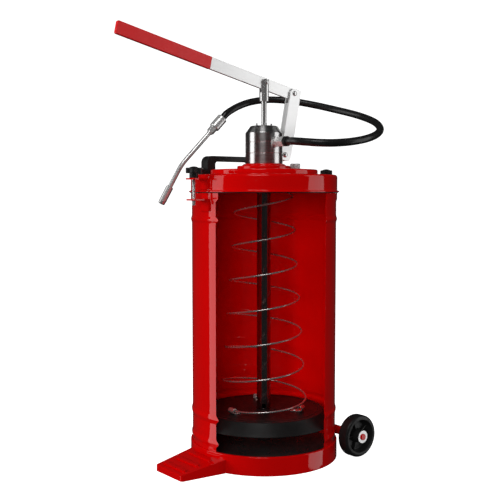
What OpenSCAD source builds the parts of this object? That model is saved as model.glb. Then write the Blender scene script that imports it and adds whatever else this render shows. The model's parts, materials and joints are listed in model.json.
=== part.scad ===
// Hand-lever lubricant pump on a wheeled drum, with a sectioned drum wall.
// Millimetres. The origin is on the drum's axis at floor level, +Z is up,
// -X is the pedal side, +X the wheel side and -Y the window and outlet side.

/* [Drum] */
// Outside radius of the drum wall
drum_r = 125; // [124:0.5:126]
// Thickness of the drum's sheet
drum_wall = 1.5; // [1:0.1:2]
// Height of the drum's open rim
drum_top = 460; // [459:0.5:460.4]
// How far a rolled bead stands out of the wall
bead_h = 1.5; // [1:0.1:2]
// Left edge of the sectioned window
window_left = -122.5; // [-123:0.5:-110]
// Right edge of the sectioned window
window_right = 33.5; // [20:0.5:60]

/* [Base] */
// Outside radius of the base pan
pan_r = 128.2; // [128:0.1:129]
// Height of the base pan's wall
pan_h = 31.5; // [28:0.5:33]
// Top of the drum's floor
floor_z = 20; // [16:0.5:22]
// Distance from the axis to the pedal's outer end
pedal_reach = 201; // [195:1:210]
// Number of tread ribs on the pedal
tread_count = 3; // [1:1:3]

/* [Wheels] */
// Radius of a wheel
wheel_r = 36.5; // [33:0.5:36.5]
// Width of a wheel's tread
wheel_w = 22; // [18:0.5:24]
// Distance of the axle behind the drum's axis
wheel_x = 118; // [116:0.5:119]
// Distance of a wheel's middle from the centre plane
wheel_y = 112.7; // [112:0.1:116]
// Radius of the axle
axle_r = 5.5; // [5:0.1:6]

/* [Lid] */
// Radius of the lid's rim
lid_r = 126.6; // [126.6:0.1:127]
// Radius of the lid's raised step
step_r = 92.7; // [90:0.1:93]
// Radius of the pump's mounting flange
flange_r = 46.5; // [44:0.1:48]
// Distance from the drum's axis to a clamp stud
clamp_x = 148; // [147:0.1:149]
// Radius of a clamp knob over its lobes
knob_r = 13.2; // [13:0.1:14]

/* [Pump] */
// Radius of the pump head
head_r = 32.2; // [32:0.1:33]
// Radius of the suction tube
tube_r = 12.25; // [12:0.05:12.3]
// Radius of the pump rod
rod_r = 4.7; // [4.5:0.05:4.7]
// Lower end of the suction tube
tube_foot = 27; // [25:0.5:28]

/* [Lever] */
// Slope of the lever at rest, in degrees
lever_slope = 12.4; // [11:0.1:13]
// Depth of the lever's flat bar
lever_depth = 20.6; // [20:0.1:21]
// Thickness of the lever's flat bar
lever_thick = 5; // [4.5:0.1:5]
// Radius of the lever's three pivot pins
pin_r = 3; // [2.5:0.1:3]

/* [Spring] */
// Radius of the spring's wire
wire_r = 1.5; // [1.2:0.1:1.6]
// Rise of the spring in one turn
spring_pitch = 58.7; // [55:0.1:62]

/* [Hidden] */
$fn = 72;
run_gap = 0.05;

// drum wall: middle height and half height of each rolled bead
beads = [[44.5, 7.5], [85, 8], [415.6, 6.5]];
bead_steps = 6;
collar_z = 445;

// foot pedal
pedal_tip_half = 38.75;
pedal_root_half = 47;
pedal_tip_h = 10;
pedal_root_h = 23.4;
pedal_root_x = 118;
pedal_sheet = 3;
tread_first_x = 188.5;
tread_step = 25.2;
tread_half = 31;

// lid heights
lid_base = 461.5;
rim_top = 491;
step_top = 500;
flange_top = 506.5;
head_base = 510;
lid_sheet = 1.8;
neck_r = 16;

// clamps
upper_leg_z = 481.8;
lower_leg_z = 447.6;
leg_t = 2.4;
bracket_half = 12;
stud_r = 3;
knob_z = 492;
knob_arm_h = 9.2;
knob_front_turn = 38.5;
knob_rear_turn = 6.5;

// pump head
head_shoulder = 562.8;
head_top = 575;
head_top_r = 23;
grooves = [528, 546.7];
chamber_r = 9;
chamber_lo = 514.5;
chamber_hi = 556;
outlet_z = 546.5;
port_r = 5.5;
tube_bore = 9.5;
slot_turn = -128.5;

// linkage, in the plane Y = 0: rod pivot, link top pivot, link foot pivot
rod_pivot = [0, 0, 649.6];
link_top = [65, 0, 634.9];
link_foot = [43, 0, 526.6];
link_lean = atan2(link_top[0] - link_foot[0], link_top[2] - link_foot[2]);
link_len = norm(link_top - link_foot);
arm_len = norm(link_top - rod_pivot);
clevis_r = 8.25;
clevis_foot = 617.4;
clevis_gap = 5.6;
plate_in = 2.9;
plate_out = 6;
web_top = 91;

// follower
follower_top = 82;
follower_foot = 61;
follower_r = 121;
follower_top_r = 105;
clip_turns = [180, 60, -60];
clip_ring_r = 69;
clip_z = 87.5;

// spring: one known place on its helix, and its two ends
coil_z0 = 102.6;
coil_r0 = 73.8;
coil_turn0 = -38.5;
coil_taper = 0.0678;
coil_foot_turn = -180;
coil_top_z = 482.8;
coil_top_turn = coil_turn0 + 360 * (coil_top_z - coil_z0) / spring_pitch;

// hose, from the outlet fitting to the nozzle
hose_r = 6.5;
hose_route = [
    [0, -63.1, 546.5], [0, -66, 546.5], [0, -69, 546.5], [1.2, -75, 546.2],
    [4, -86, 545.2], [11, -101, 543.7],
    [22, -116, 542.3], [43, -131, 542.2], [73, -140, 545], [110, -140, 551.5],
    [148, -127, 561.5], [181, -102, 574], [202, -67, 588.5], [207, -22, 603],
    [198, 28, 616.5], [178, 70, 628], [151, 104, 636], [119, 130, 638.5],
    [87, 144, 633.5], [61, 148.5, 624.5], [42, 149.5, 615], [32.5, 150.9, 608.7],
    [28.93, 151.93, 604.9], [25.07, 152.98, 600.57]
];
nozzle_r = 4.3;
nozzle_top = [25, 153, 600.5];
nozzle_bend = [-54, 174.5, 512];
nozzle_tip = [-90.4, 188, 439.6];
ferrule_len = 26;
nozzle_nut_len = 14;
coupler_len = 36;

// Points on an arc from angle a0 to a1
function arc(cx, cy, r, a0, a1, n = 6) =
    [for (i = [0:n]) let (a = a0 + (a1 - a0) * i / n) [cx + r * cos(a), cy + r * sin(a)]];

function reversed(v) = [for (i = [len(v) - 1:-1:0]) v[i]];

// How far the drum's wall stands out at height z
function bead_out(z, b) =
    abs(z - b[0]) < b[1] ? bead_h * (1 + cos(180 * (z - b[0]) / b[1])) / 2 : 0;
function collar_out(z) =
    z < collar_z ? 0 : z < collar_z + 5 ? bead_h * (z - collar_z) / 5 : bead_h;
function wall_out(z) = max(concat([for (b = beads) bead_out(z, b)], [collar_out(z)]));

wall_heights = concat(
    [2],
    [for (b = beads) for (i = [-bead_steps:bead_steps]) b[0] + b[1] * i / bead_steps],
    [collar_z, collar_z + 5, drum_top]
);

// Helix of the spring: height and radius at an angle
function coil_z(a) =
    a < coil_turn0
        ? let (d = coil_turn0 - a) coil_z0 - d * spring_pitch / 360 + 0.000398 * d * d
        : min(coil_top_z, coil_z0 + spring_pitch * (a - coil_turn0) / 360);
function coil_r(a) =
    a < coil_turn0
        ? coil_r0 - 4.8 * pow((coil_turn0 - a) / (coil_turn0 - coil_foot_turn), 2)
        : coil_r0 - coil_taper * (coil_z(a) - coil_z0);

// A smooth point on a route between its points i and i + 1
function spline(p, i, t) =
    let (a = p[max(i - 1, 0)], b = p[i], c = p[i + 1], d = p[min(i + 2, len(p) - 1)])
    0.5 * (2 * b + (c - a) * t + (2 * a - 5 * b + 4 * c - d) * t * t
        + (3 * b - a - 3 * c + d) * t * t * t);
function smooth_route(p, n) =
    concat([for (i = [0:len(p) - 2]) for (k = [0:n - 1]) spline(p, i, k / n)], [p[len(p) - 1]]);

function unit(v) = v / norm(v);

// Points round a corner c, from reach before it along a to reach after it along b
function rounded(c, a, b, reach, n) = [
    for (i = [0:n]) let (t = i / n)
        (1 - t) * (1 - t) * (c - reach * a) + 2 * t * (1 - t) * c + t * t * (c + reach * b)
];
function heading(p, i) = unit(p[min(i + 1, len(p) - 1)] - p[max(i - 1, 0)]);

// Tube of radius r along the points p, closed at both ends
module tube_along(p, r, sides) {
    rings = [
        for (i = [0:len(p) - 1])
            let (t = heading(p, i), s = unit(cross(t, [0, 0, 1])), u = cross(s, t))
            for (k = [0:sides - 1]) p[i] + r * (cos(360 * k / sides) * s + sin(360 * k / sides) * u)
    ];
    walls = [
        for (i = [0:len(p) - 2]) for (k = [0:sides - 1])
            let (a = i * sides + k, b = i * sides + (k + 1) % sides)
            each [[a, b, b + sides], [a, b + sides, a + sides]]
    ];
    last = (len(p) - 1) * sides;
    caps = [[for (k = [sides - 1:-1:0]) k], [for (k = [0:sides - 1]) last + k]];
    polyhedron(rings, concat(walls, caps));
}

// Stands children on p with their +Z towards q
module along(p, q) {
    d = q - p;
    translate(p) rotate([0, acos(d[2] / norm(d)), atan2(d[1], d[0])]) children();
}

// Cylinder centred on y = 0 along Y
module cross_rod(r, half) {
    rotate([90, 0, 0]) cylinder(r = r, h = 2 * half, center = true);
}

// Pin along Y with two domed heads
module headed_pin(half, head, head_t) {
    cross_rod(pin_r, half + 0.1);
    for (side = [-1, 1])
        scale([1, side, 1]) translate([0, half, 0]) rotate([-90, 0, 0]) rotate_extrude()
            polygon([[0, 0], [head, 0], [head, head_t * 0.35], [head * 0.8, head_t * 0.75],
                [head * 0.45, head_t], [0, head_t]]);
}

// Outline in X and Z, given a thickness along Y about y = 0
module side_plate(points, thick) {
    rotate([90, 0, 0]) translate([0, 0, -thick / 2]) linear_extrude(thick) polygon(points);
}

// ---- container ----

module drum_shell() color([0.72, 0.02, 0.02]) difference() {
    rotate_extrude() polygon(concat(
        [for (z = wall_heights) [drum_r + wall_out(z), z]],
        [for (z = reversed(wall_heights)) [drum_r - drum_wall + wall_out(z), z]]));
    translate([window_left, -2 * drum_r, pan_h])
        cube([window_right - window_left, 2 * drum_r - 5, drum_top]);
}

module base_pan() color([0.72, 0.02, 0.02]) rotate_extrude() polygon(concat(
    [[0, 0]], arc(pan_r - 1, 1, 1, -90, 0, 3),
    arc(pan_r - 1.5, pan_h - 1.5, 1.5, 0, 90, 4),
    [[drum_r + run_gap, pan_h], [drum_r + run_gap, 2], [0, 2]]));

module drum_floor() color([0.07, 0.07, 0.07]) {
    r = drum_r - drum_wall - 0.2;
    rotate_extrude() polygon([[0, floor_z - 3], [r - 2, floor_z - 3], [r - 2, 2.1], [r, 2.1],
        [r, floor_z - 1], [r - 1, floor_z], [0, floor_z]]);
}

function pedal_slope(x) =
    pedal_tip_h + (pedal_root_h - pedal_tip_h) * (pedal_reach - 1 - x) / (pedal_reach - pedal_root_x);

// The pedal's solid wedge, drawn in by an inset all round
module pedal_wedge(inset) intersection() {
    translate([0, 0, -1]) linear_extrude(40) polygon(concat(
        [[-pedal_root_x + 10, -pedal_root_half + inset], [-pedal_root_x + 10, pedal_root_half - inset],
            [-pedal_root_x, pedal_root_half - inset]],
        arc(-pedal_reach + 5, pedal_tip_half - 5, 5 - inset, 90, 180, 4),
        arc(-pedal_reach + 5, -pedal_tip_half + 5, 5 - inset, 180, 270, 4),
        [[-pedal_root_x, -pedal_root_half + inset]]));
    side_plate([[-pedal_reach + inset, inset > 0 ? -0.5 : 0],
        [-pedal_reach + inset, pedal_slope(pedal_reach) - 1 - inset],
        [-pedal_reach + inset + 1.5, pedal_slope(pedal_reach - 1.5) - inset],
        [-pedal_root_x, pedal_slope(pedal_root_x) - inset],
        [-pedal_root_x + 8, pedal_slope(pedal_root_x) - inset],
        [-pedal_root_x + 8, inset > 0 ? -0.5 : 0]], 120);
}

module foot_pedal() color([0.75, 0.02, 0.02]) difference() {
    pedal_wedge(0);
    difference() {
        pedal_wedge(pedal_sheet);
        translate([-pedal_reach, -pedal_sheet / 2, -2]) cube([100, pedal_sheet, 40]);
    }
    cylinder(r = pan_r + run_gap, h = 80, center = true);
}

module pedal_treads() color([0.75, 0.02, 0.02])
    for (i = [0:tread_count - 1]) {
        x = tread_first_x - tread_step * i;
        tilt = atan((pedal_root_h - pedal_tip_h) / (pedal_reach - pedal_root_x));
        translate([-x, 0, pedal_slope(x)]) rotate([0, -tilt, 0]) {
            translate([-2.8, -tread_half + 2.8, 0.02]) cube([5.6, 2 * tread_half - 5.6, 2.5]);
            for (side = [-1, 1])
                translate([0, side * (tread_half - 2.8), 0.02]) cylinder(r = 2.8, h = 2.5);
        }
    }

// L-shaped bracket on the +X side: a leg with a stud hole, and a leg on the wall
module bracket(leg_z, wall_r, wall_lo, wall_hi, reach, hole_r) difference() {
    union() {
        translate([wall_r - 4, -bracket_half, leg_z]) cube([reach - wall_r + 1, 2 * bracket_half, leg_t]);
        translate([reach - 3, -bracket_half + 3, leg_z]) cube([3, 2 * bracket_half - 6, leg_t]);
        for (side = [-1, 1])
            translate([reach - 3, side * (bracket_half - 3), leg_z]) cylinder(r = 3, h = leg_t);
        translate([wall_r - 4, -bracket_half, wall_lo])
            cube([4 + leg_t, 2 * bracket_half, wall_hi - wall_lo]);
    }
    cylinder(r = wall_r + 0.2, h = 2 * step_top);
    translate([clamp_x, 0, leg_z - 1]) cylinder(r = hole_r, h = leg_t + 2);
}

module bracket_lower() color([0.75, 0.02, 0.02]) difference() {
    bracket(lower_leg_z, drum_r, 430, lower_leg_z + leg_t, 155.8, stud_r + 0.3);
    translate([0, 0, collar_z - 1]) cylinder(r = drum_r + bead_h + 0.2, h = 30);
}
module bracket_lower_front() mirror([1, 0, 0]) bracket_lower();
module bracket_lower_rear() bracket_lower();

module axle_stub() difference() {
    translate([wheel_x, 0, 37]) rotate([-90, 0, 0]) union() {
        cylinder(r = axle_r, h = 129);
        translate([0, 0, 128]) cylinder(r = axle_r - 0.6, h = 1.8);
        cylinder(r = axle_r + 2.2, h = wheel_y - wheel_w / 2 - 1.8);
    }
    cylinder(r = pan_r + run_gap, h = pan_h);
    translate([0, 0, pan_h]) cylinder(r = drum_r + bead_h + run_gap, h = 40);
}
module axle_stubs() color([0.7, 0.03, 0.03]) for (side = [0, 1]) mirror([0, side, 0]) axle_stub();

module axle_washers() color([0.92, 0.92, 0.9])
    for (side = [-1, 1])
        translate([wheel_x, side * 127, 37]) rotate([90, 0, 0]) difference() {
            cylinder(r = 11, h = 1.2, center = true);
            cylinder(r = axle_r + run_gap, h = 4, center = true);
        }

// Wheel about its own axis, with its open face towards +Z
module wheel_solid() {
    h = wheel_w / 2;
    rotate_extrude() polygon(concat(
        [[axle_r + 2.1, -h + 1], [12, -h + 1], [13, -h + 3], [24, -h + 4], [wheel_r - 8, -h + 1]],
        arc(wheel_r - 5, -h + 5, 5, -90, 0, 5), arc(wheel_r - 5, h - 5, 5, 0, 90, 5),
        arc(wheel_r - 7, h - 1.5, 1.5, 90, 180, 3),
        [[wheel_r - 10.5, -h + 9], [11.5, -h + 9], [10.6, h + 2.2], [axle_r + 2.1, h + 2.2]]));
}
module wheel_at(side) translate([wheel_x, side * wheel_y, 37]) rotate([-side * 90, 0, 0]) children();
module wheel_left() color([0.05, 0.05, 0.05]) wheel_at(1) wheel_solid();
module wheel_right() color([0.05, 0.05, 0.05]) wheel_at(-1) wheel_solid();

module wheel_bush() difference() {
    translate([0, 0, -wheel_w / 2 + 0.5]) cylinder(r = axle_r + 2.1, h = wheel_w + 1.9);
    translate([0, 0, -wheel_w]) cylinder(r = axle_r + run_gap, h = 2 * wheel_w);
}
module wheel_bush_left() color([0.85, 0.85, 0.82]) wheel_at(1) wheel_bush();
module wheel_bush_right() color([0.85, 0.85, 0.82]) wheel_at(-1) wheel_bush();

// ---- lid ----

// The lid's outside, from its flange to its centre, drawn in by t
function lid_outline(t) = concat(
    t == 0 ? [[130, lid_base], [130, lid_base + 2]] : [[lid_r - t, lid_base]],
    t == 0 ? arc(lid_r + 1.6, lid_base + 3.6, 1.6, -90, -180, 3) : [],
    arc(lid_r - 4.5, rim_top - 4.5, 4.5 - t, 0, 90, 5),
    t == 0 ? arc(step_r + 1.2, rim_top + 1.2, 1.2, -90, -180, 3) : [[step_r - t, rim_top - t]],
    arc(step_r - 2.5, step_top - 2.5, 2.5 - t, 0, 90, 4));

module lid_cover() color([0.72, 0.02, 0.02]) difference() {
    rotate_extrude() polygon(concat(lid_outline(0), [[neck_r, step_top], [neck_r, step_top - lid_sheet]],
        reversed(lid_outline(lid_sheet))));
    translate([cap_x, 0, step_top - 5]) cylinder(r = 5.1, h = 10);
}

module lid_gasket() color([0.06, 0.06, 0.06]) difference() {
    translate([0, 0, drum_top + 0.1]) cylinder(r = 128.2, h = lid_base - drum_top - 0.1);
    cylinder(r = 121, h = 2 * drum_top);
}

module pump_flange() color([0.72, 0.02, 0.02]) rotate_extrude() polygon(concat(
    [[neck_r, step_top]], [[flange_r, step_top]],
    arc(flange_r - 2, flange_top - 2, 2, 0, 90, 4),
    [[39, flange_top], [36, head_base - 0.8], [34, head_base], [neck_r, head_base]]));

module bracket_upper() color([0.75, 0.02, 0.02])
    bracket(upper_leg_z, lid_r, 466, upper_leg_z + leg_t, 157, stud_r + run_gap);
module bracket_upper_front() mirror([1, 0, 0]) bracket_upper();
module bracket_upper_rear() bracket_upper();

handle_y = 94;
handle_screw_x = 65.5;
module carry_handle() color([0.05, 0.05, 0.05]) translate([0, handle_y, 0]) difference() {
    side_plate(concat(
        [[-42, rim_top], [-42, 510]], arc(-36, 510, 6, 180, 90, 4),
        arc(36, 510, 6, 90, 0, 4), [[42, rim_top], [72, rim_top], [72, 502], [60, 502]],
        arc(48, 513.5, 12, 0, 90, 6), arc(-48, 513.5, 12, 90, 180, 6),
        [[-60, 502], [-72, 502], [-72, rim_top]]), 20);
    for (side = [-1, 1]) translate([side * handle_screw_x, 0, rim_top - 1]) cylinder(r = 2.1, h = 20);
    translate([0, -handle_y, 0]) difference() {
        cylinder(r = 200, h = 600);
        cylinder(r = 124.5, h = 600);
    }
}

module handle_screws() color([0.8, 0.8, 0.8]) for (side = [-1, 1])
    translate([side * handle_screw_x, handle_y, 0]) {
        translate([0, 0, rim_top + 1]) cylinder(r = 2, h = 12);
        translate([0, 0, 502.02]) rotate_extrude()
            polygon([[0, 0], [3.6, 0], [3.6, 1], [2.6, 2.2], [0, 2.6]]);
    }

cap_x = 72;
module filler_cap() color([0.75, 0.75, 0.75]) translate([cap_x, 0, 0]) {
    rotate_extrude() polygon([[0, step_top + 0.1], [8.7, step_top + 0.1], [9.1, step_top + 0.5],
        [9.1, 511.2], [8.3, 512], [0, 512]]);
    translate([0, 0, step_top - 9]) cylinder(r = 5, h = 9.2);
}

// ---- pump head and suction tube, fixed to the lid ----

module pump_head() color([0.7, 0.7, 0.7]) difference() {
    rotate_extrude() polygon(concat(
        [[0, 484], [neck_r - run_gap, 484], [neck_r - run_gap, head_base], [head_r, head_base]],
        [for (z = grooves) each [[head_r, z - 0.6], [head_r - 0.7, z], [head_r, z + 0.6]]],
        [[head_r, head_shoulder], [head_top_r, head_top], [0, head_top]]));
    translate([0, 0, 480]) cylinder(r = tube_r + run_gap, h = chamber_lo - 480);
    translate([0, 0, chamber_lo - 1]) cylinder(r = chamber_r, h = 566 - chamber_lo + 1);
    translate([0, 0, 565]) cylinder(r = 10.5, h = 20);
    translate([0, 0, outlet_z]) rotate([90, 0, 0]) cylinder(r = port_r + run_gap, h = 60);
    gland_screw_places() translate([0, 0, 566]) cylinder(r = 1.25, h = 20);
}

module gland_screw_places() for (i = [0:3]) rotate(90 * i - 25) translate([13, 0, 0]) children();

module head_locknut() color([0.6, 0.6, 0.6]) difference() {
    translate([0, 0, 486.5]) cylinder(r = 25, h = step_top - lid_sheet - 486.5, $fn = 6);
    cylinder(r = neck_r, h = step_top);
}

module head_gland() color([0.7, 0.6, 0.3]) difference() {
    translate([0, 0, 566.05]) cylinder(r = 10.45, h = head_top + 0.6 - 566.05);
    cylinder(r = rod_r + run_gap, h = 600);
}

module gland_screws() color([0.3, 0.3, 0.3]) gland_screw_places() {
    translate([0, 0, 567]) cylinder(r = 1.2, h = 8.1);
    translate([0, 0, head_top]) cylinder(r = 1.6, h = 4.6);
}

module rod_packing() color([0.1, 0.1, 0.1]) difference() {
    translate([0, 0, chamber_hi]) cylinder(r = chamber_r - run_gap, h = 566 - chamber_hi);
    cylinder(r = rod_r + run_gap, h = 600);
}

module throat_bush() color([0.7, 0.6, 0.3]) difference() {
    translate([0, 0, 500]) cylinder(r = tube_bore - run_gap, h = 13.5);
    cylinder(r = rod_r + run_gap, h = 600);
}

module suction_tube() color([0.3, 0.28, 0.28]) difference() {
    translate([0, 0, tube_foot]) cylinder(r = tube_r, h = chamber_lo - 0.5 - tube_foot);
    cylinder(r = tube_bore, h = 600);
    rotate(slot_turn) translate([5, -3, 84.5]) cube([15, 6, 7]);
}

module foot_plug() color([0.5, 0.5, 0.5])
    translate([0, 0, tube_foot]) cylinder(r = tube_bore - run_gap, h = 12);

module spring_seat() color([0.5, 0.5, 0.5]) difference() {
    translate([0, 0, coil_top_z + wire_r + 0.1])
        cylinder(r = 54, h = step_top - lid_sheet - coil_top_z - wire_r - 0.1);
    translate([0, 0, 480]) cylinder(r = 43, h = 30);
}

module spring() color([0.7, 0.6, 0.58]) {
    step = 15;
    top_turn = coil_top_turn + 270;
    count = ceil((top_turn - coil_foot_turn) / step);
    tube_along([for (i = [0:count])
        let (a = coil_foot_turn - 4 + (top_turn - coil_foot_turn) * i / count)
        [coil_r(a) * cos(a), coil_r(a) * sin(a), coil_z(a)]], wire_r, 8);
}

module link_lug() color([0.85, 0.85, 0.85]) difference() {
    side_plate(concat([[28, 517.5], [43, 517.5]], arc(43, 526.6, 9.1, -90, 90, 8), [[28, 540]]), 5);
    cylinder(r = head_r + 0.02, h = 600);
    translate(link_foot) cross_rod(pin_r + 0.02, 10);
}

module link_foot_pin() color([0.6, 0.6, 0.62]) translate(link_foot) headed_pin(plate_out + 0.3, 4.6, 2.8);

module outlet_fitting() color([0.75, 0.75, 0.75]) translate([0, 0, outlet_z]) rotate([90, 0, 0])
    difference() {
        union() {
            translate([0, 0, 14]) cylinder(r = port_r, h = 22);
            translate([0, 0, 33.6]) cylinder(r1 = 5.6, r2 = 9.2, h = 2.6, $fn = 24);
            intersection() {
                translate([0, 0, 36]) cylinder(r = 9.4, h = 20, $fn = 6);
                translate([0, 0, 30]) cylinder(r = 9.2, h = 40);
            }
        }
        translate([0, 0, 10]) cylinder(r = 2.5, h = 60);
    }

module hose_sleeve() color([0.05, 0.05, 0.05]) translate([0, -56, outlet_z]) rotate([90, 0, 0])
    rotate_extrude() polygon([[2.5, 0], [8, 0], [8.5, 0.8], [8.5, 5.6], [7.6, 7], [2.5, 7]]);

module hose() color([0.03, 0.03, 0.03]) tube_along(smooth_route(hose_route, 2), hose_r, 12);

module nozzle_ferrule() color([0.6, 0.6, 0.6]) along(nozzle_top, nozzle_bend)
    rotate_extrude() polygon([[0, 0], [8.6, 0], [9.8, 1.2], [9.8, ferrule_len - 1.2],
        [8.8, ferrule_len], [0, ferrule_len]]);

module nozzle_nut() color([0.6, 0.6, 0.6]) along(nozzle_top, nozzle_bend)
    translate([0, 0, ferrule_len]) {
        cylinder(r = 7.6, h = nozzle_nut_len - 3, $fn = 6);
        translate([0, 0, nozzle_nut_len - 3]) cylinder(r = 6, h = 3);
    }

module nozzle_tube() color([0.7, 0.7, 0.7]) {
    down = unit(nozzle_bend - nozzle_top);
    out = unit(nozzle_tip - nozzle_bend);
    start = nozzle_top + (ferrule_len + nozzle_nut_len) * down;
    stop = nozzle_tip - coupler_len * out;
    tube_along(concat([start], rounded(nozzle_bend, down, out, 14, 8), [stop]), nozzle_r, 20);
}

module coupler_at(z) along(nozzle_bend, nozzle_tip)
    translate([0, 0, norm(nozzle_tip - nozzle_bend) - coupler_len + z]) children();

module nozzle_coupler() color([0.6, 0.6, 0.6]) coupler_at(0) rotate_extrude()
    polygon([[0, 0], [5.4, 0], [6.8, 1.4], [6.8, coupler_len - 6], [6, coupler_len - 5.6],
        [0, coupler_len - 5.6]]);

module coupler_jaws() color([0.8, 0.8, 0.8]) coupler_at(coupler_len - 5.6) difference() {
    rotate_extrude() polygon([[0, 0], [6.3, 0], [6.3, 4.2], [5, 5.6], [0, 5.6]]);
    translate([0, 0, 0.6]) cylinder(r = 3.3, h = 6);
}

// ---- follower ----

module follower_plate() color([0.05, 0.05, 0.05]) difference() {
    rotate_extrude() polygon(concat(
        [[tube_r + 0.35, 70.2], [111, 70.2], [113, follower_foot], [follower_r - 1, follower_foot],
            [follower_r, follower_foot + 1.4]],
        arc(follower_top_r - 1.5, follower_top - 2, 2, 10, 90, 4),
        [[96.5, follower_top], [95.5, follower_top - 1], [94.5, follower_top], [tube_r + 0.35, follower_top]]));
    translate([0, 0, 78]) cylinder(r = 23 + run_gap, h = 10);
    rivet_places() translate([0, 0, 60]) cylinder(r = 2 + run_gap, h = 40);
}

module follower_disc() color([0.4, 0.4, 0.4]) difference() {
    translate([0, 0, 66.2]) cylinder(r = 108, h = 4);
    cylinder(r = tube_r + 0.6, h = 100);
    rivet_places() translate([0, 0, 60]) cylinder(r = 2 + run_gap, h = 40);
}

module follower_wiper() color([0.08, 0.08, 0.08]) difference() {
    translate([0, 0, 78]) rotate_extrude()
        polygon([[tube_r + 0.35, 0], [23, 0], [23, 4], [22.2, 4.6], [15, 4.6], [tube_r + 0.35, 3.8]]);
}

module clip_places() for (a = clip_turns) rotate(a) children();
module rivet_places() clip_places() translate([57, 0, 0]) children();

module spring_clips() color([0.72, 0.6, 0.58]) clip_places() difference() {
    union() {
        translate([clip_ring_r, 0, clip_z]) cross_rod(4.5, 7.5);
        translate([51, -6, follower_top + 0.02]) cube([clip_ring_r - 51, 12, 1.3]);
    }
    translate([clip_ring_r, 0, clip_z]) cross_rod(3.3, 10);
    translate([57, 0, 60]) cylinder(r = 2 + run_gap, h = 40);
}

module clip_rivets() color([0.6, 0.6, 0.6]) rivet_places() {
    translate([0, 0, 65]) cylinder(r = 2, h = follower_top + 1.5 - 65);
    translate([0, 0, follower_top + 1.35]) rotate_extrude()
        polygon([[0, 0], [3.4, 0], [2.9, 0.9], [1.6, 1.5], [0, 1.6]]);
    translate([0, 0, 64.8]) cylinder(r = 3.4, h = 1.35);
}

// ---- rod, clevis and piston ----

piston_z = 93;
module pump_rod() color([0.75, 0.75, 0.75]) difference() {
    translate([0, 0, piston_z + 8.6]) cylinder(r = rod_r, h = 629 - piston_z - 8.6);
    translate([0, 0, 50]) cylinder(r = 2, h = 502);
    translate([0, 0, 548]) cross_rod(1.5, 10);
}

module clevis() color([0.75, 0.75, 0.75]) difference() {
    intersection() {
        translate([0, 0, clevis_foot]) cylinder(r = clevis_r, h = 655.5 - clevis_foot);
        union() {
            translate([0, 0, 655.5 - clevis_r]) cross_rod(clevis_r, 20);
            translate([-20, -20, clevis_foot]) cube([40, 40, 655.5 - clevis_r - clevis_foot]);
        }
    }
    translate([-20, -clevis_gap / 2, 632]) cube([40, clevis_gap, 40]);
    translate([0, 0, 600]) cylinder(r = rod_r + run_gap, h = 29.1);
    translate(rod_pivot) cross_rod(pin_r + 0.02, 20);
}

module lever_pin() color([0.7, 0.7, 0.7]) translate(rod_pivot) headed_pin(clevis_r + 0.05, 3.9, 2);

module piston() color([0.7, 0.6, 0.3]) translate([0, 0, piston_z]) difference() {
    cylinder(r = tube_bore - 0.1, h = 14);
    translate([0, 0, -1]) cylinder(r = 1.8, h = 4);
    translate([0, 0, 1.6]) cylinder(r = 3.2, h = 10);
    translate([0, 0, 8.55]) cylinder(r = rod_r + run_gap, h = 10);
    translate([0, 0, 3]) difference() {
        cylinder(r = 12, h = 3);
        cylinder(r = 7.5, h = 3);
    }
}

module piston_seal() color([0.1, 0.1, 0.1]) translate([0, 0, piston_z + 3.05]) difference() {
    cylinder(r = tube_bore - 0.06, h = 2.9);
    translate([0, 0, -1]) cylinder(r = 7.55, h = 6);
}

module check_ball() color([0.8, 0.8, 0.8]) translate([0, 0, piston_z + 3.4]) sphere(r = 2.5, $fn = 48);

// ---- lever ----

// Stands children on the rod pivot with their +X along the lever
module on_lever() translate(rod_pivot) rotate([0, lever_slope, 0]) children();

bar_lo = -lever_depth / 2 - 2.4;
bar_hi = lever_depth / 2 - 2.4;
bar_end = 81.5;
grip_near = -116.2;
grip_far = -296.4;

module lever_bar() color([0.88, 0.88, 0.88]) on_lever() difference() {
    side_plate([[grip_far + 1, bar_lo + 0.5], [grip_far + 1, bar_hi - 0.5], [grip_near, bar_hi - 0.5],
        [grip_near, bar_hi], [bar_end - 3, bar_hi], [bar_end, bar_hi - 3], [bar_end, bar_lo + 3],
        [bar_end - 3, bar_lo], [grip_near, bar_lo], [grip_near, bar_lo + 0.5]], lever_thick);
    cross_rod(pin_r + run_gap, 10);
    translate([arm_len, 0, -0.4]) {
        for (shift = [-1.5, 1.7]) translate([shift, 0, 0]) cross_rod(pin_r + 0.25, 10);
        cube([3.2, 20, 2 * (pin_r + 0.25)], center = true);
    }
}

module lever_grip() color([0.75, 0.12, 0.12]) on_lever() difference() {
    side_plate(concat(
        arc(grip_far + 2, bar_lo + 2, 2.2, 180, 270, 3), [[grip_near - 0.01, bar_lo - 0.2]],
        [[grip_near - 0.01, bar_hi + 0.2]], arc(grip_far + 2, bar_hi - 2, 2.2, 90, 180, 3)),
        lever_thick + 1.4);
    side_plate([[grip_far + 1, bar_lo + 0.5], [grip_far + 1, bar_hi - 0.5], [grip_near + 5, bar_hi - 0.5],
        [grip_near + 5, bar_lo + 0.5]], lever_thick);
}

// ---- link ----

// Stands children on the link's foot pivot with their +Z along the link
module on_link() translate(link_foot) rotate([0, link_lean, 0]) children();

// Side view of the link's plates: x across the link, z along it
link_left = -10;
link_right = 14.4;
link_outline = concat(
    arc(0, 0, -link_left, 180, 270, 6), arc(link_right - 10, 0, 10, 270, 360, 6),
    arc(link_right - 3, link_len + 4.9, 3, 0, 90, 3), arc(0, link_len - 1.6, -link_left, 90, 180, 6));

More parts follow.
